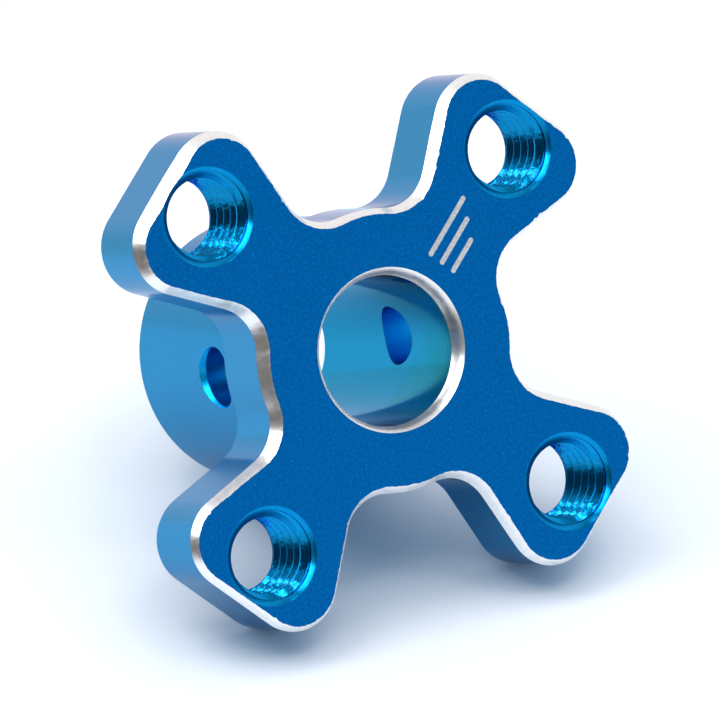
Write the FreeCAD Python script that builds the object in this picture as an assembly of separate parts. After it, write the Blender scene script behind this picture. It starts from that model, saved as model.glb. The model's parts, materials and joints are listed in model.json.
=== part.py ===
import FreeCAD, Part

import math
import os

# Four-arm flanged hub, machined from one bar of aluminium: a thin X-shaped plate with a round boss behind it.
# The hub's axis is Y. The plate's front face looks towards -Y, and the boss stands out towards +Y. The four
# arms point along the diagonals of the XZ plane. The origin is on the axis, in the plane of the plate's rear
# face. All sizes are in millimetres.

# Driving dimensions: lengths along the axis
PLATE_THICKNESS = 3.0
BOSS_LENGTH = 7.0

# Driving dimensions: shaft bore, boss and cross-pin hole
BORE_RADIUS = 2.5
BORE_FRONT_CHAMFER_WIDTH = 0.27
BORE_FRONT_CHAMFER_DEPTH = 0.45
BORE_REAR_CHAMFER = 0.25
BOSS_RADIUS = 4.5
BOSS_END_CHAMFER = 0.15
CROSS_HOLE_RADIUS = 1.0
CROSS_HOLE_FROM_FRONT = 4.2
CROSS_CHAMFER_WIDTH = 0.13
CROSS_CHAMFER_DEPTH = 0.2

# Driving dimensions: plate outline, with flanks that run straight towards the axis
ARM_COUNT = 4
FIRST_ARM_ANGLE = 45.0
ARM_REACH = 9.84
FLANK_ANGLE = 20.0
TIP_CORNER_RADIUS = 1.6
WEB_RADIUS = 4.72
WEB_FILLET_RADIUS = 1.5
FRONT_CHAMFER_WIDTH = 0.25
FRONT_CHAMFER_DEPTH = 0.43
REAR_CHAMFER = 0.15

# Driving dimensions: M3 tapped holes in the arms, drawn at the tapping-drill size
BOLT_CIRCLE_DIAMETER = 16.0
TAP_DRILL_RADIUS = 1.25
COUNTERSINK = 0.4

# How far a cutting tool runs past the surface that it leaves, and how near to its plane an edge has to be
TOOL_OVERRUN = 1.0
PLANE_TOLERANCE = 1e-6

AXIS = FreeCAD.Vector(0, 1, 0)
CROSS_AXIS = FreeCAD.Vector(1, 0, 0)
FRONT_Y = -PLATE_THICKNESS
END_Y = BOSS_LENGTH


def polar(radius, angle):
    """A point of the outline plane, from its radius and its angle in radians."""
    return (radius * math.cos(angle), radius * math.sin(angle))


def along(point, direction, distance):
    """The point that lies a distance away in a unit direction."""
    return (point[0] + distance * direction[0], point[1] + distance * direction[1])


def unit(vector):
    length = math.hypot(*vector)
    return (vector[0] / length, vector[1] / length)


def turned(point, angle, mirrored):
    """A point of the arm's own plane, turned onto an arm and placed in the plane of the front face."""
    u = point[0]
    v = -point[1] if mirrored else point[1]
    x = u * math.cos(angle) - v * math.sin(angle)
    z = u * math.sin(angle) + v * math.cos(angle)
    return FreeCAD.Vector(x, FRONT_Y, z)


def half_arm():
    """Points of one half of an arm that lies along u, from the web out to the tip.

    The three-point runs are the web fillet and the tip corner, and the flank joins them.
    """
    angle = math.radians(FLANK_ANGLE)
    flank = (math.cos(angle), math.sin(angle))
    outward = (-math.sin(angle), math.cos(angle))

    centre_distance = WEB_RADIUS + WEB_FILLET_RADIUS
    flank_start = math.sqrt(centre_distance**2 - WEB_FILLET_RADIUS**2)
    foot = along((0, 0), flank, flank_start)
    fillet_centre = along(foot, outward, WEB_FILLET_RADIUS)
    to_web = unit((-fillet_centre[0], -fillet_centre[1]))
    to_flank = (-outward[0], -outward[1])
    bisector = unit((to_web[0] + to_flank[0], to_web[1] + to_flank[1]))
    fillet = [
        along(fillet_centre, to_web, WEB_FILLET_RADIUS),
        along(fillet_centre, bisector, WEB_FILLET_RADIUS),
        foot,
    ]

    corner_u = ARM_REACH - TIP_CORNER_RADIUS
    corner_v = (corner_u * math.sin(angle) - TIP_CORNER_RADIUS) / math.cos(angle)
    corner_centre = (corner_u, corner_v)
    bisector = unit((outward[0] + 1, outward[1]))
    corner = [
        along(corner_centre, outward, TIP_CORNER_RADIUS),
        along(corner_centre, bisector, TIP_CORNER_RADIUS),
        (ARM_REACH, corner_v),
    ]
    return fillet, corner


def arc(start, middle, end):
    return Part.Arc(start, middle, end).toShape()


def line(start, end):
    return Part.LineSegment(start, end).toShape()


def outline():
    """The plate's closed outline, arm by arm, with the round web between neighbouring arms."""
    fillet, corner = half_arm()
    step = 2 * math.pi / ARM_COUNT
    edges = []
    for index in range(ARM_COUNT):
        angle = math.radians(FIRST_ARM_ANGLE) + index * step
        near_fillet = [turned(point, angle, True) for point in fillet]
        near_corner = [turned(point, angle, True) for point in corner]
        far_corner = [turned(point, angle, False) for point in reversed(corner)]
        far_fillet = [turned(point, angle, False) for point in reversed(fillet)]
        next_fillet = turned(fillet[0], angle + step, True)
        web_middle = turned(polar(WEB_RADIUS, step / 2), angle, False)
        edges.append(arc(*near_fillet))
        edges.append(line(near_fillet[-1], near_corner[0]))
        edges.append(arc(*near_corner))
        edges.append(line(near_corner[-1], far_corner[0]))
        edges.append(arc(*far_corner))
        edges.append(line(far_corner[-1], far_fillet[0]))
        edges.append(arc(*far_fillet))
        edges.append(arc(far_fillet[-1], web_middle, next_fillet))
    return Part.Wire(edges)


def edges_at(shape, y):
    """The edges of a shape that lie in one plane across the axis."""
    found = []
    for edge in shape.Edges:
        box = edge.BoundBox
        if abs(box.YMin - y) < PLANE_TOLERANCE and abs(box.YMax - y) < PLANE_TOLERANCE:
            found.append(edge)
    return found


def plate():
    """The X-shaped plate, with a deep narrow chamfer round its front and a small one round its rear."""
    slab = Part.Face(outline()).extrude(AXIS * PLATE_THICKNESS)
    slab = slab.makeChamfer(FRONT_CHAMFER_DEPTH, FRONT_CHAMFER_WIDTH, edges_at(slab, FRONT_Y))
    return slab.makeChamfer(REAR_CHAMFER, edges_at(slab, 0))


def boss():
    """The round boss, which starts inside the plate and has a broken edge at its end."""
    start = FreeCAD.Vector(0, -PLATE_THICKNESS / 2, 0)
    body = Part.makeCylinder(BOSS_RADIUS, BOSS_LENGTH + PLATE_THICKNESS / 2, start, AXIS)
    return body.makeChamfer(BOSS_END_CHAMFER, edges_at(body, END_Y))


def chamfer_tool(mouth, inward, radius, width, depth):
    """A cone that opens a hole's mouth by width over depth, and runs past the mouth at the same slope."""
    overrun = TOOL_OVERRUN * width / depth
    base = mouth - inward * TOOL_OVERRUN
    return Part.makeCone(radius + width + overrun, radius, depth + TOOL_OVERRUN, base, inward)


def through_hole(radius, start, end):
    """A cylinder from just before one point to just past another."""
    direction = (end - start).normalize()
    length = start.distanceToPoint(end) + 2 * TOOL_OVERRUN
    return Part.makeCylinder(radius, length, start - direction * TOOL_OVERRUN, direction)


def bore_tools():
    front = FreeCAD.Vector(0, FRONT_Y, 0)
    end = FreeCAD.Vector(0, END_Y, 0)
    return [
        through_hole(BORE_RADIUS, front, end),
        chamfer_tool(front, AXIS, BORE_RADIUS, BORE_FRONT_CHAMFER_WIDTH, BORE_FRONT_CHAMFER_DEPTH),
        chamfer_tool(end, -AXIS, BORE_RADIUS, BORE_REAR_CHAMFER, BORE_REAR_CHAMFER),
    ]


def arm_hole_tools():
    """The four tapped holes, each countersunk at 90 degrees from both sides."""
    tools = []
    for index in range(ARM_COUNT):
        angle = math.radians(FIRST_ARM_ANGLE) + index * 2 * math.pi / ARM_COUNT
        x, z = polar(BOLT_CIRCLE_DIAMETER / 2, angle)
        front = FreeCAD.Vector(x, FRONT_Y, z)
        rear = FreeCAD.Vector(x, 0, z)
        tools.append(through_hole(TAP_DRILL_RADIUS, front, rear))
        tools.append(chamfer_tool(front, AXIS, TAP_DRILL_RADIUS, COUNTERSINK, COUNTERSINK))
        tools.append(chamfer_tool(rear, -AXIS, TAP_DRILL_RADIUS, COUNTERSINK, COUNTERSINK))
    return tools


def cross_hole_tools():
    """The plain hole for a cross pin, through both walls of the boss, with its two outer edges broken."""
    y = FRONT_Y + CROSS_HOLE_FROM_FRONT
    left = FreeCAD.Vector(-BOSS_RADIUS, y, 0)
    right = FreeCAD.Vector(BOSS_RADIUS, y, 0)
    return [
        through_hole(CROSS_HOLE_RADIUS, left, right),
        chamfer_tool(left, CROSS_AXIS, CROSS_HOLE_RADIUS, CROSS_CHAMFER_WIDTH, CROSS_CHAMFER_DEPTH),
        chamfer_tool(right, -CROSS_AXIS, CROSS_HOLE_RADIUS, CROSS_CHAMFER_WIDTH, CROSS_CHAMFER_DEPTH),
    ]


def four_arm_hub():
    blank = plate().fuse(boss()).removeSplitter()
    tools = bore_tools() + arm_hole_tools() + cross_hole_tools()
    return blank.cut(tools).removeSplitter()


def main():
    os.makedirs("parts", exist_ok=True)
    hub = four_arm_hub()
    solid = hub.Solids[0]
    print("solids", len(hub.Solids), "valid", solid.isValid(), "volume", round(solid.Volume, 2))
    solid.exportStep("parts/four_arm_hub.step")


main()
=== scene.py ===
import json
import math
import random

import bmesh
import bpy
import numpy as np
from mathutils import Matrix, Vector


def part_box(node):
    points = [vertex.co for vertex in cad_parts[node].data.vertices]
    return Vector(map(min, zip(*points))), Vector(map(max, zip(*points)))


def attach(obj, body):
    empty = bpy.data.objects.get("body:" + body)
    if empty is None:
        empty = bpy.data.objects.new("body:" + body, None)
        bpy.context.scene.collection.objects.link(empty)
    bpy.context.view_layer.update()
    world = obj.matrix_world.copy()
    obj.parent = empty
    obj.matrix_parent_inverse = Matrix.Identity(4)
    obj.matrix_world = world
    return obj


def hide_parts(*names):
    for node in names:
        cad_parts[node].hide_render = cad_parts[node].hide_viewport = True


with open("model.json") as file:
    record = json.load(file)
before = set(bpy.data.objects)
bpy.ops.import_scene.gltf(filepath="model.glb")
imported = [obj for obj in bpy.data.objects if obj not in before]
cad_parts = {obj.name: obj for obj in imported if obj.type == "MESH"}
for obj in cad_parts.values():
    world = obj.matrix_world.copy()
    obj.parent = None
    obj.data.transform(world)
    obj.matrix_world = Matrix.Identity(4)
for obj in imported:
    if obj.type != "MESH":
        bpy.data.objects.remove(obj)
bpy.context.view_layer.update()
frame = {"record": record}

MM = 0.001
NODE = "four_arm_hub"

# Sizes are in millimetres. The hub's axis is Y: its front face looks towards -Y and its boss points to +Y.
MOUNTS = {mount["name"]: mount for mount in frame["record"]["mounts"]}
LOW, HIGH = (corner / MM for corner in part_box(NODE))
FRONT_Y = LOW.y
REAR_Y = 0.0
END_Y = HIGH.y
BORE_RADIUS = MOUNTS["bore"]["dims"]["r_mm"]
BOSS_RADIUS = MOUNTS["boss_outside"]["dims"]["r_mm"]
CROSS_RADIUS = MOUNTS["cross_pin_hole"]["dims"]["r_mm"]
CROSS_Y = MOUNTS["cross_pin_hole"]["pos_m"][1] / MM
BOLT_CIRCLE_RADIUS = MOUNTS["arm_holes"]["dims"]["pcd_mm"] / 2
THREAD_MINOR_RADIUS = MOUNTS["arm_holes"]["dims"]["hole_r_mm"]
ARM_COUNT = MOUNTS["arm_holes"]["dims"]["count"]

# The plate's outline, with flanks that run straight towards the axis
FIRST_ARM_ANGLE = math.radians(45)
ARM_STEP = 2 * math.pi / ARM_COUNT
ARM_REACH = 9.84
FLANK_ANGLE = math.radians(20)
TIP_CORNER_RADIUS = 1.6
WEB_RADIUS = 4.72
WEB_FILLET_RADIUS = 1.5

# Chamfers and fillets: a single size, or a width and a depth
REAR_CHAMFER = 0.15
BORE_FRONT_CHAMFER = (0.24, 0.40)
BORE_CHAMFER_CENTRE = (0.035, 0, 0.02)
BORE_REAR_CHAMFER = 0.25
BOSS_END_CHAMFER = 0.15
BOSS_ROOT_FILLET = 0.15
CROSS_CHAMFER = (0.13, 0.2)
COUNTERSINK = (0.4, 0.37)

# How far each chamfer's profile is rounded towards the face, as a share of its length
CROWN = 0.08
BORE_CROWN = 0.14
COUNTERSINK_CROWN = 0.06

# M3 thread. Its crest is widest at the foot of the front countersink. THREAD_START is in turns.
THREAD_MAJOR_RADIUS = 1.5
THREAD_PITCH = 0.5
THREAD_FLANK_ANGLE = math.radians(30)
THREAD_CREST = 0.03
FIRST_CREST = 0.08
THREAD_START = 0.27

# The front chamfer has one slope, but it isn't cut equally deep everywhere. CHAMFER_BITE gives its size as a
# share of the nominal one for each arm, anticlockwise from the upper right one: on its first flank, on its
# end, on its second flank and on the web that follows it. Corners are cut less than their neighbours, and
# fillets more. CHAMFER_WAVES and RIPPLE give waves round the whole outline, as a count and a height. Burrs
# stand along the chamfer's edge with the face, and their widths are shares of the outline's length. The
# blends smooth the changes over that many points.
CHAMFER_WIDTH = 0.25
CHAMFER_DEPTH = 0.43
CHAMFER_PLACES = ["near_flank", "end", "far_flank", "web"]
CHAMFER_BITE = [
    [1.00, 1.00, 0.95, 0.70],
    [0.95, 1.28, 0.95, 1.05],
    [0.83, 0.78, 0.95, 0.90],
    [0.92, 0.90, 1.00, 1.00],
]
CORNER_BITE = 0.88
FILLET_BITE = 1.12
CORNER_BLEND = 16
BITE_BLEND = 12
CHAMFER_WAVES = [(13, 0.012), (29, 0.010)]
RIPPLE = [(160, 0.004), (330, 0.004), (530, 0.003)]
BURR_COUNT = 60
BURR_HEIGHTS = (-0.02, 0.045)
BURR_WIDTHS = (0.0005, 0.0012)
BURR_SEED = 11

# A generic mark in place of lettering
MARK_LENGTHS = [1.2, 1.7, 2.2]
MARK_WIDTH = 0.18
MARK_SPACING = 0.5
MARK_FROM_AXIS = 3.5
MARK_DEPTH = 0.015

# Fineness of the meshes, and how far a cutter runs past the surface that it leaves
STEP = 0.06
BORE_SEGMENTS = 192
COUNTERSINK_SEGMENTS = 128
CROSS_SEGMENTS = 96
THREAD_SEGMENTS = 96
OUTLINE_CHAMFER_BANDS = 4
HOLE_CHAMFER_BANDS = 6
FILLET_STEPS = 6
MARK_END_STEPS = 8
SHARP_ANGLE = math.radians(18)
OVERRUN = 1.0

SURFACES = [
    "front_face", "rear_face", "side_wall", "front_chamfer", "rear_break",
    "boss", "boss_end", "boss_break",
    "bore", "bore_front_chamfer", "bore_rear_chamfer",
    "cross_hole", "cross_chamfer", "thread", "countersink", "mark",
]
SURFACE = {name: index for index, name in enumerate(SURFACES)}
stand_in_materials = [bpy.data.materials.new("surface_" + name) for name in SURFACES]


# ---- Outline of the plate -------------------------------------------------------------------------------

def arc_points(centre, radius, start, end):
    """Points of an arc and their normals away from its centre, from one angle up to another."""
    count = max(2, math.ceil(abs(end - start) * radius / STEP))
    for index in range(count):
        angle = start + (end - start) * index / count
        out = np.array([math.cos(angle), math.sin(angle)])
        yield np.array(centre) + radius * out, out


def line_points(start, end, normal):
    """Points of a straight line and their normals, up to its end."""
    start, end = np.array(start), np.array(end)
    count = max(2, math.ceil(np.linalg.norm(end - start) / STEP))
    for index in range(count):
        yield start + (end - start) * index / count, np.array(normal)


def arm_side():
    """Centres and joining points of one half of an arm that lies along u, on its v > 0 side."""
    flank = np.array([math.cos(FLANK_ANGLE), math.sin(FLANK_ANGLE)])
    outward = np.array([-math.sin(FLANK_ANGLE), math.cos(FLANK_ANGLE)])
    foot = flank * math.sqrt((WEB_RADIUS + WEB_FILLET_RADIUS) ** 2 - WEB_FILLET_RADIUS**2)
    fillet_centre = foot + outward * WEB_FILLET_RADIUS
    corner_u = ARM_REACH - TIP_CORNER_RADIUS
    corner_v = (corner_u * math.sin(FLANK_ANGLE) - TIP_CORNER_RADIUS) / math.cos(FLANK_ANGLE)
    corner_centre = np.array([corner_u, corner_v])
    return outward, foot, fillet_centre, corner_centre


def quarter_outline():
    """Points, outward normals and places of one arm and the web that follows it, in the arm's own plane."""
    outward, foot, fillet_centre, corner_centre = arm_side()
    shoulder = corner_centre + TIP_CORNER_RADIUS * outward
    across = np.array([1, -1])
    normal_angle = math.pi / 2 + FLANK_ANGLE
    fillet_angle = math.atan2(fillet_centre[1], fillet_centre[0])
    web_side = fillet_angle + math.pi
    flank_side = normal_angle + math.pi
    points = []

    def add(place, run, inside=False):
        for point, normal in run:
            points.append((point, -normal if inside else normal, place))

    add("near_fillet", arc_points(fillet_centre * across, WEB_FILLET_RADIUS, -web_side, -flank_side), True)
    add("near_flank", line_points(foot * across, shoulder * across, outward * across))
    add("near_corner", arc_points(corner_centre * across, TIP_CORNER_RADIUS, -normal_angle, 0))
    add("end", line_points((ARM_REACH, -corner_centre[1]), (ARM_REACH, corner_centre[1]), (1, 0)))
    add("far_corner", arc_points(corner_centre, TIP_CORNER_RADIUS, 0, normal_angle))
    add("far_flank", line_points(shoulder, foot, outward))
    add("far_fillet", arc_points(fillet_centre, WEB_FILLET_RADIUS, flank_side, web_side), True)
    add("web", arc_points((0, 0), WEB_RADIUS, fillet_angle, ARM_STEP - fillet_angle))
    return points


def outline():
    """The whole outline as (x, z) points, their outward normals, and the arm and place of each."""
    points, normals, places = [], [], []
    for arm in range(ARM_COUNT):
        angle = FIRST_ARM_ANGLE + arm * ARM_STEP
        turn = np.array([[math.cos(angle), -math.sin(angle)], [math.sin(angle), math.cos(angle)]])
        for point, normal, place in quarter_outline():
            points.append(turn @ point)
            normals.append(turn @ normal)
            places.append((arm, place))
    return np.array(points), np.array(normals), places


# ---- Profiles of the chamfers ---------------------------------------------------------------------------

def crowned(width, depth, crown, bands):
    """Steps of a chamfer's profile, rounded towards the face: how far in from its foot, and how deep."""
    length = math.hypot(width, depth)
    for index in range(bands + 1):
        share = index / bands
        bulge = crown * length * math.sin(math.pi * share) * (1 - share)
        yield width * (1 - share) - bulge * depth / length, depth * share - bulge * width / length


def crowned_normals(out, inset, below, inward, width, depth, crown):
    """Outward normals of a hole's crowned chamfer, from each point's place in its profile.

    out points away from the hole's axis, and inward is the sign of Y on the way into the hole.
    """
    length = math.hypot(width, depth)
    share = np.clip(((width - inset) * width + below * depth) / length**2, 0, 1)[:, None]
    turn = math.pi * share
    bend = crown * (math.pi * np.cos(turn) * (1 - share) - np.sin(turn))
    normal = -out * (depth - bend * width) - np.array([0, inward, 0]) * (width + bend * depth)
    return normal / np.linalg.norm(normal, axis=1)[:, None]


def smoothed(values, reach):
    """A closed run of values, each averaged with its neighbours up to a number of points away."""
    window = np.hanning(2 * reach + 3)[1:-1]
    padded = np.concatenate([values[-reach:], values, values[:reach]])
    return np.convolve(padded, window / window.sum(), "valid")


def chamfer_scale(points, places):
    """The chamfer's size beside its nominal one, and the share of the outline travelled, at each point."""
    steps = np.linalg.norm(np.roll(points, -1, axis=0) - points, axis=1)
    travel = np.concatenate([[0], np.cumsum(steps)])[:-1]
    total = steps.sum()
    knots, bites = [], []
    for arm, values in enumerate(CHAMFER_BITE):
        for place, bite in zip(CHAMFER_PLACES, values):
            knots.append(travel[[index for index, at in enumerate(places) if at == (arm, place)]].mean())
            bites.append(bite)
    scale = np.interp(travel, knots, bites, period=total)
    local = np.ones(len(points))
    for index, (_, place) in enumerate(places):
        if place.endswith("corner"):
            local[index] = CORNER_BITE
        elif place.endswith("fillet"):
            local[index] = FILLET_BITE
    scale = smoothed(scale * smoothed(local, CORNER_BLEND), BITE_BLEND)
    for waves, height in CHAMFER_WAVES:
        scale += height * np.sin(2 * math.pi * (waves * travel / total + 1 / waves))
    return scale, travel / total


def ragged(share, dice):
    """A small uneven extra bite along a closed edge: a fine ripple and a few sharp burrs."""
    bite = np.zeros(len(share))
    for waves, height in RIPPLE:
        bite += height * np.sin(2 * math.pi * (waves * share + dice.random()))
    for _ in range(BURR_COUNT):
        away = np.abs(share - dice.random())
        away = np.minimum(away, 1 - away)
        height = dice.uniform(*BURR_HEIGHTS)
        bite += height * np.exp(-((away / dice.uniform(*BURR_WIDTHS)) ** 2))
    return bite


# ---- Solids ---------------------------------------------------------------------------------------------

def new_object(name, vertices, faces, surfaces):
    """A mesh object with one named surface for each face, and its normals pointing outwards."""
    mesh = bpy.data.meshes.new(name)
    mesh.from_pydata([tuple(vertex) for vertex in vertices], [], faces)
    for material in stand_in_materials:
        mesh.materials.append(material)
    mesh.polygons.foreach_set("material_index", [SURFACE[surface] for surface in surfaces])
    mesh.validate()
    bm = bmesh.new()
    bm.from_mesh(mesh)
    bmesh.ops.recalc_face_normals(bm, faces=bm.faces)
    bm.to_mesh(mesh)
    bm.free()
    piece = bpy.data.objects.new(name, mesh)
    bpy.context.scene.collection.objects.link(piece)
    return piece


def stacked_rings(name, rings, bands, caps):
    """A closed solid through rings of equally many points. bands name the surface between each two rings."""
    count = len(rings[0])
    vertices = np.concatenate(rings)
    faces, surfaces = [], []
    for level, surface in enumerate(bands):
        for index in range(count):
            here = level * count + index
            after = level * count + (index + 1) % count
            faces.append((here, after, after + count, here + count))
            surfaces.append(surface)
    faces.append(tuple(range(count)))
    faces.append(tuple(range((len(rings) - 1) * count, len(rings) * count)))
    surfaces += caps
    return new_object(name, vertices, faces, surfaces)


def lathe(name, profile, bands, caps, centre=(0, 0, 0), axis="Y", segments=BORE_SEGMENTS):
    """A turned solid: profile gives (radius, distance along the axis) of each ring."""
    turns = [2 * math.pi * index / segments for index in range(segments)]
    rings = []
    for radius, distance in profile:
        ring = []
        for turn in turns:
            across, up = radius * math.cos(turn), radius * math.sin(turn)
            ring.append((across, distance, up) if axis == "Y" else (distance, across, up))
        rings.append(np.array(ring) + np.array(centre))
    return stacked_rings(name, rings, bands, caps)


def plate():
    points, normals, places = outline()
    scale, share = chamfer_scale(points, places)
    scale = scale[:, None]

    def ring(inset, y):
        flat = points - inset * normals
        return np.column_stack([flat[:, 0], np.broadcast_to(np.ravel(y), len(flat)), flat[:, 1]])

    rings = []
    for inset, depth in crowned(CHAMFER_WIDTH, CHAMFER_DEPTH, CROWN, OUTLINE_CHAMFER_BANDS):
        rings.append(ring(inset * scale, FRONT_Y + depth * scale))
    burrs = ragged(share, random.Random(BURR_SEED))[:, None]
    rings[0] = ring(CHAMFER_WIDTH * scale + burrs, FRONT_Y)
    bands = ["front_chamfer"] * OUTLINE_CHAMFER_BANDS + ["side_wall", "rear_break"]
    rings += [ring(0, REAR_Y - REAR_CHAMFER), ring(REAR_CHAMFER, REAR_Y)]
    return stacked_rings("plate", rings, bands, ["front_face", "rear_face"])


def boss():
    """The boss, which starts inside the plate and has a fillet at its root and a broken edge at its end."""
    root = BOSS_RADIUS + BOSS_ROOT_FILLET
    profile = [(BOSS_RADIUS, FRONT_Y / 2), (root, FRONT_Y / 2)]
    bands = ["rear_face"]
    for index in range(FILLET_STEPS + 1):
        angle = math.pi / 2 * index / FILLET_STEPS
        radius = BOSS_RADIUS + BOSS_ROOT_FILLET * (1 - math.sin(angle))
        profile.append((radius, REAR_Y + BOSS_ROOT_FILLET * (1 - math.cos(angle))))
        bands.append("boss_break")
    profile += [(BOSS_RADIUS, END_Y - BOSS_END_CHAMFER), (BOSS_RADIUS - BOSS_END_CHAMFER, END_Y)]
    bands += ["boss", "boss_break"]
    return lathe("boss", profile, bands, ["boss_end", "boss_end"])


def bore_cutters():
    """The bore with its rear chamfer, and the front chamfer, which is cut a little off the bore's axis."""
    rear = BORE_REAR_CHAMFER
    profile = [
        (BORE_RADIUS, FRONT_Y - OVERRUN),
        (BORE_RADIUS, END_Y - rear),
        (BORE_RADIUS + rear + OVERRUN, END_Y + OVERRUN),
    ]
    yield lathe("bore_cutter", profile, ["bore", "bore_rear_chamfer"], ["bore", "bore"])

    width, depth = BORE_FRONT_CHAMFER
    profile = [(BORE_RADIUS + width + OVERRUN, FRONT_Y - OVERRUN)]
    for inset, below in crowned(width, depth, BORE_CROWN, HOLE_CHAMFER_BANDS):
        profile.append((BORE_RADIUS + inset, FRONT_Y + below))
    profile.append((BORE_RADIUS - width, FRONT_Y + 2 * depth))
    bands = ["bore_front_chamfer"] * (len(profile) - 1)
    yield lathe("bore_chamfer_cutter", profile, bands, ["bore_front_chamfer"] * 2, BORE_CHAMFER_CENTRE)


def cross_cutter():
    width, depth = CROSS_CHAMFER
    wide = CROSS_RADIUS + width * (1 + OVERRUN / depth)
    profile = [
        (wide, -BOSS_RADIUS - OVERRUN),
        (CROSS_RADIUS, -BOSS_RADIUS + depth),
        (CROSS_RADIUS, BOSS_RADIUS - depth),
        (wide, BOSS_RADIUS + OVERRUN),
    ]
    bands = ["cross_chamfer", "cross_hole", "cross_chamfer"]
    return lathe(
        "cross_cutter", profile, bands, ["cross_hole"] * 2,
        centre=(0, CROSS_Y, 0), axis="X", segments=CROSS_SEGMENTS,
    )


def countersink_cutters(x, z):
    """The countersinks of one tapped hole, from the front and from the rear."""
    width, depth = COUNTERSINK
    for face_y, inward in ((FRONT_Y, 1), (REAR_Y, -1)):
        profile = [(THREAD_MINOR_RADIUS + width + OVERRUN, face_y - OVERRUN * inward)]
        for inset, below in crowned(width, depth, COUNTERSINK_CROWN, HOLE_CHAMFER_BANDS):
            profile.append((THREAD_MINOR_RADIUS + inset, face_y + below * inward))
        profile.append((THREAD_MINOR_RADIUS / 2, profile[-1][1]))
        bands = ["countersink"] * (len(profile) - 1)
        yield lathe(
            "countersink", profile, bands, ["countersink"] * 2,
            centre=(x, 0, z), segments=COUNTERSINK_SEGMENTS,
        )


def thread_profile(height):
    """One pitch of the tap, from a height along its axis: the crest that it leaves, and its own ridge."""
    flank = (THREAD_MAJOR_RADIUS - THREAD_MINOR_RADIUS) * math.tan(THREAD_FLANK_ANGLE)
    below_countersink = height - FRONT_Y - COUNTERSINK[1]
    mouth = math.exp(-((below_countersink / (THREAD_PITCH / 2)) ** 2))
    crest = THREAD_CREST + (FIRST_CREST - THREAD_CREST) * mouth
    return [
        (0, THREAD_MINOR_RADIUS),
        (crest, THREAD_MINOR_RADIUS),
        (crest + flank, THREAD_MAJOR_RADIUS),
        (THREAD_PITCH - flank, THREAD_MAJOR_RADIUS),
    ]


def thread_cutter(x, z):
    """The tap's shape: a right-hand helical ridge with 60 degree flanks round a core of the drill's size.

    Each step along the helix holds one profile of a pitch, and each profile ends where the profile one turn
    on starts.
    """
    segments = THREAD_SEGMENTS
    turns = math.ceil((REAR_Y - FRONT_Y + 2 * OVERRUN) / THREAD_PITCH)
    steps = turns * segments
    low = FRONT_Y - OVERRUN - THREAD_PITCH
    vertices = []
    for step in range(steps + 1):
        angle = -2 * math.pi * (step / segments + THREAD_START)
        height = low + THREAD_PITCH * step / segments
        profile = thread_profile(height)
        for rise, radius in profile:
            vertices.append((x + radius * math.cos(angle), height + rise, z + radius * math.sin(angle)))
    width = len(profile)

    def at(step, column):
        return step * width + column if column < width else (step + segments) * width

    faces = []
    for step in range(steps):
        after = step + 1
        columns = width if after + segments <= steps else width - 1
        for column in range(columns):
            faces.append((at(step, column), at(after, column), at(after, column + 1), at(step, column + 1)))

    last = width - 1
    low_rim = [at(step, 0) for step in range(segments + 1)]
    low_rim += [at(0, column) for column in range(last, 0, -1)]
    high_rim = [at(step, last) for step in range(steps - segments, steps + 1)]
    high_rim += [at(steps, column) for column in range(last - 1, -1, -1)]
    for rim, height in ((low_rim, low - THREAD_PITCH), (high_rim, low + THREAD_PITCH * (turns + 2))):
        centre = len(vertices)
        vertices.append((x, height, z))
        faces += [(vertex, rim[(index + 1) % len(rim)], centre) for index, vertex in enumerate(rim)]
    return new_object("thread_cutter", vertices, faces, ["thread"] * len(faces))


def mark_cutters():
    """Three plain bars with round ends, side by side between the bore and the first arm's hole."""
    along = np.array([math.cos(FIRST_ARM_ANGLE), math.sin(FIRST_ARM_ANGLE)])
    across = np.array([-along[1], along[0]])
    half = MARK_WIDTH / 2
    for index, length in enumerate(MARK_LENGTHS):
        start = along * MARK_FROM_AXIS + across * MARK_SPACING * (index - 1)
        end = start + along * length
        rim = []
        for centre, first in ((start, math.pi / 2), (end, -math.pi / 2)):
            for step in range(MARK_END_STEPS + 1):
                angle = first + math.pi * step / MARK_END_STEPS
                rim.append(centre + half * (math.cos(angle) * along + math.sin(angle) * across))
        rim = np.array(rim)
        rings = []
        for y in (FRONT_Y - OVERRUN, FRONT_Y + MARK_DEPTH):
            rings.append(np.column_stack([rim[:, 0], np.full(len(rim), y), rim[:, 1]]))
        yield stacked_rings("mark_cutter", rings, ["mark"], ["mark", "mark"])


def combine(base, tool, operation):
    """Joins a tool to the base or cuts it out of it, and removes the tool."""
    modifier = base.modifiers.new("combine", "BOOLEAN")
    modifier.operation = operation
    modifier.solver = "MANIFOLD"
    modifier.object = tool
    graph = bpy.context.evaluated_depsgraph_get()
    result = bpy.data.meshes.new_from_object(base.evaluated_get(graph))
    base.modifiers.clear()
    base.data = result
    bpy.data.objects.remove(tool)


def hub_mesh():
    hub = plate()
    combine(hub, boss(), "UNION")
    for cutter in bore_cutters():
        combine(hub, cutter, "DIFFERENCE")
    combine(hub, cross_cutter(), "DIFFERENCE")
    for arm in range(ARM_COUNT):
        angle = FIRST_ARM_ANGLE + arm * ARM_STEP
        x, z = BOLT_CIRCLE_RADIUS * math.cos(angle), BOLT_CIRCLE_RADIUS * math.sin(angle)
        for cutter in countersink_cutters(x, z):
            combine(hub, cutter, "DIFFERENCE")
        combine(hub, thread_cutter(x, z), "DIFFERENCE")
    for cutter in mark_cutters():
        combine(hub, cutter, "DIFFERENCE")
    return hub


# ---- Shading normals ------------------------------------------------------------------------------------

X_AXIS = 0
Y_AXIS = 1


def away_from_axis(points, axis):
    """Unit directions from one of the frame's axes to each point."""
    across = points.copy()
    across[:, axis] = 0
    return across / np.linalg.norm(across, axis=1)[:, None]


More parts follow.
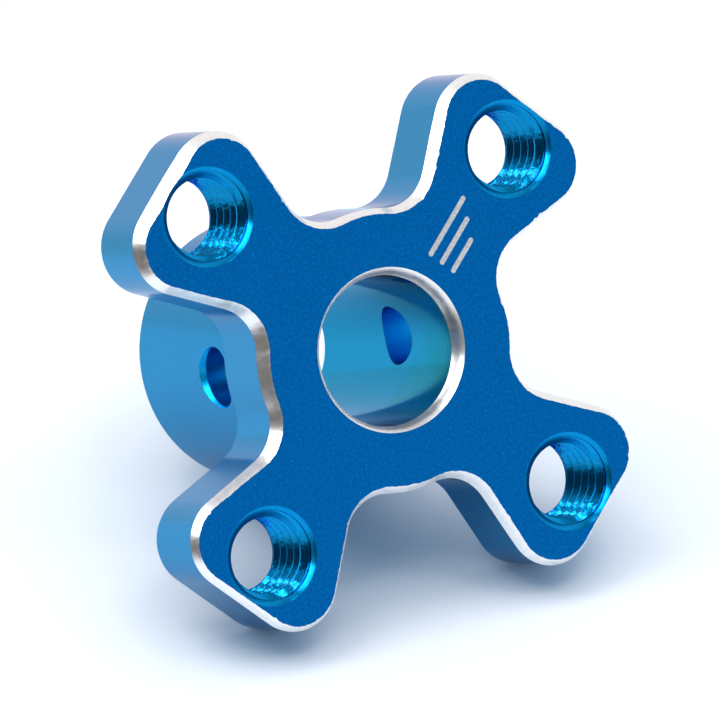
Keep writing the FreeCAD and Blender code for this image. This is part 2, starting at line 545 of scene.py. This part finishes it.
def chamfer_normals(points, centre, hole_radius, face_y, inward, size, crown):
    """Normals of a crowned chamfer round a hole that runs along Y, whose mouth lies in the plane face_y."""
    across = points - centre
    inset = np.hypot(across[:, 0], across[:, 2]) - hole_radius
    below = (points[:, 1] - face_y) * inward
    return crowned_normals(away_from_axis(across, Y_AXIS), inset, below, inward, *size, crown)


def true_normals(surface, points):
    """The exact outward normals of the round surfaces, or None where the facets' own are right."""
    if surface == "boss":
        return away_from_axis(points, Y_AXIS)
    if surface == "bore":
        return -away_from_axis(points, Y_AXIS)
    if surface == "cross_hole":
        return -away_from_axis(points - [0, CROSS_Y, 0], X_AXIS)
    if surface == "bore_front_chamfer":
        return chamfer_normals(
            points, BORE_CHAMFER_CENTRE, BORE_RADIUS, FRONT_Y, 1, BORE_FRONT_CHAMFER, BORE_CROWN,
        )
    if surface == "bore_rear_chamfer":
        return (-away_from_axis(points, Y_AXIS) + np.array([0, 1, 0])) / math.sqrt(2)
    if surface == "countersink":
        quadrant = np.column_stack([np.sign(points[:, 0]), np.zeros(len(points)), np.sign(points[:, 2])])
        centre = quadrant * BOLT_CIRCLE_RADIUS / math.sqrt(2)
        at_front = points[:, 1].mean() < (FRONT_Y + REAR_Y) / 2
        face_y, inward = (FRONT_Y, 1) if at_front else (REAR_Y, -1)
        return chamfer_normals(
            points, centre, THREAD_MINOR_RADIUS, face_y, inward, COUNTERSINK, COUNTERSINK_CROWN,
        )
    return None


def set_normals(mesh):
    """Sharp edges between surfaces and at every ridge, and exact normals on the round surfaces."""
    mesh.shade_smooth()
    mesh.set_sharp_from_angle(angle=SHARP_ANGLE)
    bm = bmesh.new()
    bm.from_mesh(mesh)
    for edge in bm.edges:
        if len({face.material_index for face in edge.link_faces}) > 1:
            edge.smooth = False
    bm.to_mesh(mesh)
    bm.free()
    points = np.array([vertex.co for vertex in mesh.vertices])
    normals = np.array([tuple(corner.vector) for corner in mesh.corner_normals])
    for polygon in mesh.polygons:
        exact = true_normals(SURFACES[polygon.material_index], points[list(polygon.vertices)])
        if exact is not None:
            normals[list(polygon.loop_indices)] = exact
    mesh.normals_split_custom_set([tuple(normal) for normal in normals])


# ---- Materials ------------------------------------------------------------------------------------------

# Noise scales are in waves per metre, and depths in millimetres.
FACE_BLUE = (0.0, 0.125, 0.418)
SIDE_BLUE = (0.001, 0.235, 0.465)
BORE_BLUE = (0.0, 0.24, 0.43)
TAP_BLUE = (0.0, 0.25, 0.58)
# The cross hole's blue is the walls' dye painted much lighter: the extra lightness is painted light, which
# brightens the shaded inside of the hole.
PIN_HOLE_PAINTED_LIGHT_BLUE = (0.0, 0.36, 0.80)
BORE_TEAL = (0.0, 0.22, 0.26)
EDGE_TINT = (0.45, 0.6, 0.75)
BORE_EDGE_TINT = (0.60, 0.74, 0.84)
COAT_IOR = 1.5
EDGE_RADIUS = 0.03
BEVEL_SAMPLES = 6

# Most of a noise's values lie within this range.
NOISE_RANGE = (0.3, 0.7)
CLOUD_SCALE = 600
FLECK_SCALE = 11000
ROUGHNESS_SPREAD = 0.07

# Flecks: a place in the noise, and how much lighter or darker the dye is there
FLECK_TONES = [(0.33, -0.17), (0.5, 0.0), (0.64, 0.16), (0.76, 0.9)]

# The teal cast of the bore's mouth: where it ends along the axis, and how uneven its end is
CAST_END = 1.0
CAST_UNEVENNESS = 1.5

BLAST_SCALE = 9500
BLAST_DEPTH = 0.007
MILL_STRETCH = (1500, 12000, 1500)
TURN_STRETCH = (300, 14000, 300)
TOOL_MARK_DEPTH = 0.0006
FACING_SCALE = 14000
COUNTERSINK_RING_SCALE = 16000
RING_DEPTH = 0.0008
TAP_SCALE = 4600
TAP_DEPTH = 0.014

BARE_SCALE = 5000
BARE_TONES = [(0.35, (0.88, 0.89, 0.89)), (0.6, (0.95, 0.96, 0.96))]
BARE_ROUGHNESS = (0.29, 0.36)
BARE_ANISOTROPY = 0.92
ETCH_SCALE = 9000
ETCH_TONES = [(0.3, (0.5, 0.52, 0.54)), (0.7, (0.72, 0.74, 0.76))]
ETCH_ROUGHNESS = 0.6

MIX_FIRST = 6
MIX_SECOND = 7
MIX_RESULT = 2


class Nodes:
    """Short forms for building a material's node tree."""

    def __init__(self, name):
        self.material = bpy.data.materials.new(name)
        self.material.use_nodes = True
        self.tree = self.material.node_tree
        self.shader = self.tree.nodes["Principled BSDF"]
        self.place = self.add("ShaderNodeTexCoord").outputs["Object"]

    def add(self, kind, **settings):
        node = self.tree.nodes.new(kind)
        for name, value in settings.items():
            setattr(node, name, value)
        return node

    def feed(self, socket, value):
        """Links another node's output to a socket, or sets the socket's own value."""
        if isinstance(value, bpy.types.NodeSocket):
            self.tree.links.new(value, socket)
        else:
            socket.default_value = value

    def set(self, **settings):
        """Sets or links the shader's sockets by name."""
        for name, value in settings.items():
            self.feed(self.shader.inputs[name.replace("_", " ")], value)

    def noise(self, scale, detail):
        node = self.add("ShaderNodeTexNoise")
        self.feed(node.inputs["Vector"], self.place)
        self.feed(node.inputs["Scale"], scale)
        self.feed(node.inputs["Detail"], detail)
        return node.outputs["Fac"]

    def stretched_noise(self, stretch, detail):
        """Noise with a scale of its own along each of the frame's axes."""
        mapping = self.add("ShaderNodeMapping")
        self.feed(mapping.inputs["Vector"], self.place)
        self.feed(mapping.inputs["Scale"], stretch)
        node = self.add("ShaderNodeTexNoise")
        self.feed(node.inputs["Vector"], mapping.outputs[0])
        self.feed(node.inputs["Scale"], 1)
        self.feed(node.inputs["Detail"], detail)
        return node.outputs["Fac"]

    def noise_along(self, value, scale, detail):
        """Noise in one dimension, such as rings from a distance."""
        node = self.add("ShaderNodeTexNoise", noise_dimensions="1D")
        self.feed(node.inputs["W"], value)
        self.feed(node.inputs["Scale"], scale)
        self.feed(node.inputs["Detail"], detail)
        return node.outputs["Fac"]

    def ramp(self, value, stops):
        node = self.add("ShaderNodeValToRGB")
        elements = node.color_ramp.elements
        while len(elements) < len(stops):
            elements.new(0.5)
        for element, (position, colour) in zip(elements, stops):
            element.position = position
            element.color = (*colour, 1)
        self.feed(node.inputs[0], value)
        return node.outputs[0]

    def span(self, value, low, high, source):
        """Carries a source range of values over to the range from low to high."""
        node = self.add("ShaderNodeMapRange")
        self.feed(node.inputs["Value"], value)
        self.feed(node.inputs["From Min"], source[0])
        self.feed(node.inputs["From Max"], source[1])
        self.feed(node.inputs["To Min"], low)
        self.feed(node.inputs["To Max"], high)
        return node.outputs[0]

    def bump(self, height, depth, normal):
        node = self.add("ShaderNodeBump")
        self.feed(node.inputs["Strength"], 1)
        self.feed(node.inputs["Distance"], depth * MM)
        self.feed(node.inputs["Height"], height)
        self.feed(node.inputs["Normal"], normal)
        return node.outputs[0]

    def math(self, operation, first, second=0.0):
        node = self.add("ShaderNodeMath", operation=operation)
        self.feed(node.inputs[0], first)
        self.feed(node.inputs[1], second)
        return node.outputs[0]

    def mixed(self, share, first, second):
        node = self.add("ShaderNodeMix", data_type="RGBA")
        self.feed(node.inputs["Factor"], share)
        self.feed(node.inputs[MIX_FIRST], first)
        self.feed(node.inputs[MIX_SECOND], second)
        return node.outputs[MIX_RESULT]

    def split_place(self):
        """The three coordinates of a point."""
        parts = self.add("ShaderNodeSeparateXYZ")
        self.feed(parts.inputs[0], self.place)
        return parts.outputs

    def distance(self, offset):
        """How far a point is from the axis, or from the nearest of four axes offset alike in X and Z."""
        x, _, z = self.split_place()
        across = self.math("SUBTRACT", self.math("ABSOLUTE", x), offset)
        up = self.math("SUBTRACT", self.math("ABSOLUTE", z), offset)
        total = self.math("ADD", self.math("POWER", across, 2), self.math("POWER", up, 2))
        return self.math("SQRT", total)

    def mouth(self, cloud):
        """Rises from 0 deep in the hub to 1 at its front, with an uneven border."""
        unevenness = CAST_UNEVENNESS * MM
        shift = self.span(cloud, -unevenness, unevenness, NOISE_RANGE)
        uneven = self.math("ADD", self.split_place()[1], shift)
        return self.span(uneven, 1, 0, (FRONT_Y * MM, CAST_END * MM))

    def flecked(self, noise, colour, strength):
        """A colour with slightly darker and lighter grains, and a few bright specks."""
        stops = []
        for place, tone in FLECK_TONES:
            stops.append((place, tuple(value * (1 + tone * strength) for value in colour)))
        return self.ramp(noise, stops)

    def lengthwise(self):
        """The direction of the hub's axis, across the tool marks."""
        node = self.add("ShaderNodeCombineXYZ")
        self.feed(node.inputs[1], 1)
        return node.outputs[0]

    def rounded_edges(self):
        """The surface's normal, with its edges a little rounded."""
        node = self.add("ShaderNodeBevel", samples=BEVEL_SAMPLES)
        self.feed(node.inputs["Radius"], EDGE_RADIUS * MM)
        return node.outputs[0]


def anodised(
    name, blue, roughness, coat, coat_roughness, grain,
    flecks=0.3, cast=None, tint=EDGE_TINT, anisotropy=0.0,
):
    """Dyed oxide over metal: a blue metal with a clear coat, and a grain of its own for each machining step.

    The dye has fine flecks of a strength from 0 to 1. cast, where given, is the colour that it turns to
    towards the front of the hub, and tint is the metal's own colour at a glancing angle. anisotropy is how
    far tool marks, which all run across the hub's axis, stretch a highlight.
    """
    nodes = Nodes(name)
    cloud = nodes.noise(CLOUD_SCALE, 3)
    fleck = nodes.noise(FLECK_SCALE, 3)
    colour = nodes.flecked(fleck, blue, flecks)
    if cast is not None:
        colour = nodes.mixed(nodes.mouth(cloud), colour, nodes.flecked(fleck, cast, flecks))
    smoothest = roughness * (1 - ROUGHNESS_SPREAD)
    roughest = roughness * (1 + ROUGHNESS_SPREAD)
    nodes.set(Base_Color=colour, Metallic=1.0)
    nodes.set(Roughness=nodes.span(cloud, smoothest, roughest, NOISE_RANGE))
    nodes.set(Coat_Weight=coat, Coat_Roughness=coat_roughness, Coat_IOR=COAT_IOR)
    nodes.set(Specular_Tint=(*tint, 1), Anisotropic=anisotropy, Tangent=nodes.lengthwise())
    nodes.set(Normal=grain(nodes, nodes.rounded_edges()))
    return nodes.material


def blasted(nodes, normal):
    """The fine even pits of a blasted face."""
    return nodes.bump(nodes.noise(BLAST_SCALE, 3), BLAST_DEPTH, normal)


def milled(nodes, normal):
    """Faint lines left by the side of an end mill."""
    return nodes.bump(nodes.stretched_noise(MILL_STRETCH, 3), TOOL_MARK_DEPTH, normal)


def turned(nodes, normal):
    """Fine rings left by a lathe tool or a drill."""
    return nodes.bump(nodes.stretched_noise(TURN_STRETCH, 3), TOOL_MARK_DEPTH, normal)


def faced(nodes, normal):
    """Rings left by a lathe tool on a face across the axis."""
    return nodes.bump(nodes.noise_along(nodes.distance(0), FACING_SCALE, 2), RING_DEPTH, normal)


def countersunk(nodes, normal):
    """Rings left by the countersink round each tapped hole."""
    hole = BOLT_CIRCLE_RADIUS / math.sqrt(2) * MM
    return nodes.bump(nodes.noise_along(nodes.distance(hole), COUNTERSINK_RING_SCALE, 2), RING_DEPTH, normal)


def tapped(nodes, normal):
    """The torn, uneven surface that a tap leaves."""
    return nodes.bump(nodes.noise(TAP_SCALE, 2), TAP_DEPTH, normal)


def bare_metal():
    """The chamfers' cut metal, whose tool marks run across the hub's axis."""
    nodes = Nodes("bare_aluminium")
    streak = nodes.noise(BARE_SCALE, 3)
    nodes.set(Base_Color=nodes.ramp(streak, BARE_TONES), Metallic=1.0)
    nodes.set(Anisotropic=BARE_ANISOTROPY, Tangent=nodes.lengthwise())
    nodes.set(Roughness=nodes.span(streak, *BARE_ROUGHNESS, NOISE_RANGE))
    return nodes.material


def etched_metal():
    """The mark's dull metal."""
    nodes = Nodes("etched_aluminium")
    nodes.set(Base_Color=nodes.ramp(nodes.noise(ETCH_SCALE, 2), ETCH_TONES))
    nodes.set(Metallic=1.0, Roughness=ETCH_ROUGHNESS)
    return nodes.material


FINISHES = {
    "anodised_blasted": ["front_face"],
    "anodised_milled": ["side_wall", "rear_break"],
    "anodised_turned": ["boss", "boss_break"],
    "anodised_faced": ["boss_end", "rear_face"],
    "anodised_bored": ["bore", "bore_rear_chamfer"],
    # The drilled finish's colour carries painted light for the shaded inside of the cross hole.
    "anodised_drilled_painted_light": ["cross_hole", "cross_chamfer"],
    "anodised_countersunk": ["countersink"],
    "anodised_tapped": ["thread"],
    "bare_aluminium": ["front_chamfer", "bore_front_chamfer"],
    "etched_aluminium": ["mark"],
}


def materials():
    """Each finish's material. The numbers are its roughness, its coat's weight and its coat's roughness."""
    return [
        anodised("anodised_blasted", FACE_BLUE, 0.38, 0.02, 0.3, blasted, flecks=1.0),
        anodised("anodised_milled", SIDE_BLUE, 0.22, 0.45, 0.15, milled),
        anodised("anodised_turned", SIDE_BLUE, 0.22, 0.32, 0.15, turned),
        anodised("anodised_faced", SIDE_BLUE, 0.26, 0.2, 0.15, faced),
        anodised(
            "anodised_bored", BORE_BLUE, 0.12, 0.08, 0.08, turned,
            flecks=0.25, cast=BORE_TEAL, tint=BORE_EDGE_TINT,
        ),
        # The cross hole's lighter blue is painted light for its shaded inside, over a real drilled finish.
        anodised("anodised_drilled_painted_light", PIN_HOLE_PAINTED_LIGHT_BLUE, 0.35, 0.1, 0.2, turned),
        anodised("anodised_countersunk", TAP_BLUE, 0.24, 0.06, 0.12, countersunk, anisotropy=0.85),
        anodised("anodised_tapped", TAP_BLUE, 0.16, 0.1, 0.08, tapped),
        bare_metal(),
        etched_metal(),
    ]


def set_materials(mesh):
    """Swaps the stand-in material of each surface for its finish."""
    finishes = {material.name: material for material in materials()}
    order = list(FINISHES)
    finish_of = {}
    for finish, surfaces in FINISHES.items():
        finish_of.update({surface: order.index(finish) for surface in surfaces})
    indices = [finish_of[SURFACES[polygon.material_index]] for polygon in mesh.polygons]
    mesh.materials.clear()
    for finish in order:
        mesh.materials.append(finishes[finish])
    mesh.polygons.foreach_set("material_index", indices)
    for material in stand_in_materials:
        bpy.data.materials.remove(material)


def make_hub():
    hub = hub_mesh()
    hub.name = "machined_hub"
    hub.data.name = "machined_hub"
    set_normals(hub.data)
    set_materials(hub.data)
    normals = [tuple(corner.vector) for corner in hub.data.corner_normals]
    hub.data.transform(Matrix.Scale(MM, 4))
    hub.data.normals_split_custom_set(normals)
    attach(hub, "root")
    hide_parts(NODE)


# ---- Camera ---------------------------------------------------------------------------------------------

CAMERA_AZIMUTH = math.radians(-26.55)
CAMERA_ELEVATION = math.radians(5.90)
CAMERA_ROLL = math.radians(10.57)
CAMERA_DISTANCE = 235.65
CAMERA_AIM = Vector((-0.949, -2.542, -0.109))
LENS = 357.4
SENSOR_WIDTH = 36
CLIP_START = 1


def add_camera():
    direction = Vector((
        math.sin(CAMERA_AZIMUTH) * math.cos(CAMERA_ELEVATION),
        -math.cos(CAMERA_AZIMUTH) * math.cos(CAMERA_ELEVATION),
        math.sin(CAMERA_ELEVATION),
    ))
    camera = bpy.data.objects.new("camera", bpy.data.cameras.new("camera"))
    camera.data.lens = LENS
    camera.data.sensor_width = SENSOR_WIDTH
    camera.data.clip_start = CLIP_START * MM
    camera.location = (CAMERA_AIM + direction * CAMERA_DISTANCE) * MM
    level = direction.to_track_quat("Z", "Y")
    camera.rotation_mode = "QUATERNION"
    camera.rotation_quaternion = level @ Matrix.Rotation(-CAMERA_ROLL, 4, "Z").to_quaternion()
    bpy.context.scene.collection.objects.link(camera)
    bpy.context.scene.camera = camera


# ---- Floor and light ------------------------------------------------------------------------------------

# The hub leans back on the rear edges of its two lower arms and on the lower edge of its boss's end.
CONTACT_ARM = Vector((0, REAR_Y - REAR_CHAMFER, LOW.z))
CONTACT_BOSS = Vector((0, END_Y - BOSS_END_CHAMFER, -BOSS_RADIUS))
TO_FRONT = Vector((0, -1, 0))
TO_RIGHT = Vector((1, 0, 0))

FLOOR_HALF_SIZE = 30
FLOOR_SHIFT = 11
FLOOR_CELLS = 24
FLOOR_GAP = 0.005
FLOOR_COLOUR = (0.9, 0.91, 0.93)
FLOOR_ROUGHNESS = 0.8

# Softboxes: azimuth and elevation about the floor's upright, size in millimetres, radiance, and whether each
# lights the floor and is mirrored in the metal.
SOFTBOX_DISTANCE = 200
SOFTBOXES = [
    ("overhead_softbox", 180, 88, 300, 1.42, True, False),
    ("left_softbox", -115, 58, 120, 2.6, True, False),
    ("left_mirrored_softbox", -90, 51, 176, 4.2, False, True),
    ("top_softbox", 20, 70, 32, 5.0, True, True),
    ("front_softbox", -28, 62, 26, 6.0, True, True),
]

# Patches of the room: azimuth, elevation, the angles from its middle where the patch starts to fade and where
# it ends, and its colour.
ROOM_COLOUR = (1.0, 1.0, 1.0)
ROOM_PATCHES = [
    (172, 0, 14, 38, (1.42, 1.08, 1.12)),
    (0, 62, 25, 45, (0.38, 0.40, 0.42)),
    (-88, -10, 29, 40, (0.09, 0.075, 0.065)),
    (-35, 25, 12, 26, (0.06, 0.06, 0.07)),
]
FILL_COLOUR = (0.335, 0.43, 0.555)
BACKGROUND_COLOUR = (1.0, 1.0, 1.0)
MAX_BOUNCES = 12


def floor_normal():
    along = (CONTACT_BOSS - CONTACT_ARM).normalized()
    return TO_RIGHT.cross(along)


def add_floor():
    """A pale floor that is seen only from above, so that it never hides the hub."""
    normal = floor_normal()
    middle = (CONTACT_ARM + CONTACT_BOSS) / 2 + TO_RIGHT * FLOOR_SHIFT
    turn = normal.to_track_quat("Z", "Y").to_matrix().to_4x4()
    bm = bmesh.new()
    bmesh.ops.create_grid(bm, x_segments=FLOOR_CELLS, y_segments=FLOOR_CELLS, size=FLOOR_HALF_SIZE)
    mesh = bpy.data.meshes.new("floor")
    bm.to_mesh(mesh)
    bm.free()
    mesh.transform(Matrix.Translation((middle - normal * FLOOR_GAP) * MM) @ turn @ Matrix.Scale(MM, 4))
    floor = bpy.data.objects.new("floor", mesh)
    bpy.context.scene.collection.objects.link(floor)
    nodes = Nodes("floor_white")
    nodes.set(Base_Color=(*FLOOR_COLOUR, 1), Roughness=FLOOR_ROUGHNESS)
    see_through = nodes.add("ShaderNodeMixShader")
    nodes.feed(see_through.inputs[0], nodes.add("ShaderNodeNewGeometry").outputs["Backfacing"])
    nodes.feed(see_through.inputs[1], nodes.shader.outputs[0])
    nodes.feed(see_through.inputs[2], nodes.add("ShaderNodeBsdfTransparent").outputs[0])
    nodes.feed(nodes.tree.nodes["Material Output"].inputs["Surface"], see_through.outputs[0])
    mesh.materials.append(nodes.material)


def studio_direction(azimuth, elevation):
    """A direction about the floor's upright: azimuth 0 is the front and 90 the right, elevation 90 is up."""
    normal = floor_normal()
    forward = TO_FRONT - normal * TO_FRONT.dot(normal)
    forward.normalize()
    azimuth, elevation = math.radians(azimuth), math.radians(elevation)
    flat = forward * math.cos(azimuth) + TO_RIGHT * math.sin(azimuth)
    return flat * math.cos(elevation) + normal * math.sin(elevation)


def add_softbox(name, azimuth, elevation, size, radiance, lights_floor, mirrored):
    """A square light aimed at the hub."""
    direction = studio_direction(azimuth, elevation)
    light = bpy.data.objects.new(name, bpy.data.lights.new(name, "AREA"))
    light.data.shape = "SQUARE"
    light.data.size = size * MM
    light.data.energy = radiance * math.pi * (size * MM) ** 2
    light.location = direction * SOFTBOX_DISTANCE * MM
    light.rotation_mode = "QUATERNION"
    light.rotation_quaternion = direction.to_track_quat("Z", "Y")
    light.visible_camera = False
    light.visible_diffuse = lights_floor
    light.visible_glossy = mirrored
    bpy.context.scene.collection.objects.link(light)


def add_world():
    """A white room for the metal to mirror, with a few soft patches of other brightness.

    The floor is lit by a dimmer, bluer version of it, and the camera sees plain white.
    """
    world = bpy.data.worlds.new("studio")
    world.use_nodes = True
    bpy.context.scene.world = world
    tree = world.node_tree
    direction = tree.nodes.new("ShaderNodeTexCoord").outputs["Generated"]
    path = tree.nodes.new("ShaderNodeLightPath")

    def mixed(share, first, second):
        node = tree.nodes.new("ShaderNodeMix")
        node.data_type = "RGBA"
        tree.links.new(share, node.inputs["Factor"])
        for socket, value in ((node.inputs[MIX_FIRST], first), (node.inputs[MIX_SECOND], second)):
            if isinstance(value, tuple):
                socket.default_value = (*value, 1)
            else:
                tree.links.new(value, socket)
        return node.outputs[MIX_RESULT]

    colour = ROOM_COLOUR
    for azimuth, elevation, inner, outer, patch in ROOM_PATCHES:
        facing = tree.nodes.new("ShaderNodeVectorMath")
        facing.operation = "DOT_PRODUCT"
        tree.links.new(direction, facing.inputs[0])
        facing.inputs[1].default_value = studio_direction(azimuth, elevation)
        inside = tree.nodes.new("ShaderNodeMapRange")
        inside.interpolation_type = "SMOOTHSTEP"
        tree.links.new(facing.outputs["Value"], inside.inputs["Value"])
        inside.inputs["From Min"].default_value = math.cos(math.radians(outer))
        inside.inputs["From Max"].default_value = math.cos(math.radians(inner))
        colour = mixed(inside.outputs[0], colour, patch)
    colour = mixed(path.outputs["Is Diffuse Ray"], colour, FILL_COLOUR)
    colour = mixed(path.outputs["Is Camera Ray"], colour, BACKGROUND_COLOUR)
    tree.links.new(colour, tree.nodes["Background"].inputs["Color"])


def set_view():
    scene = bpy.context.scene
    scene.view_settings.view_transform = "Standard"
    scene.view_settings.look = "None"
    scene.view_settings.exposure = 0
    scene.cycles.max_bounces = MAX_BOUNCES


add_camera()
make_hub()
add_floor()
for softbox in SOFTBOXES:
    add_softbox(*softbox)
add_world()
set_view()

bpy.context.view_layer.update()
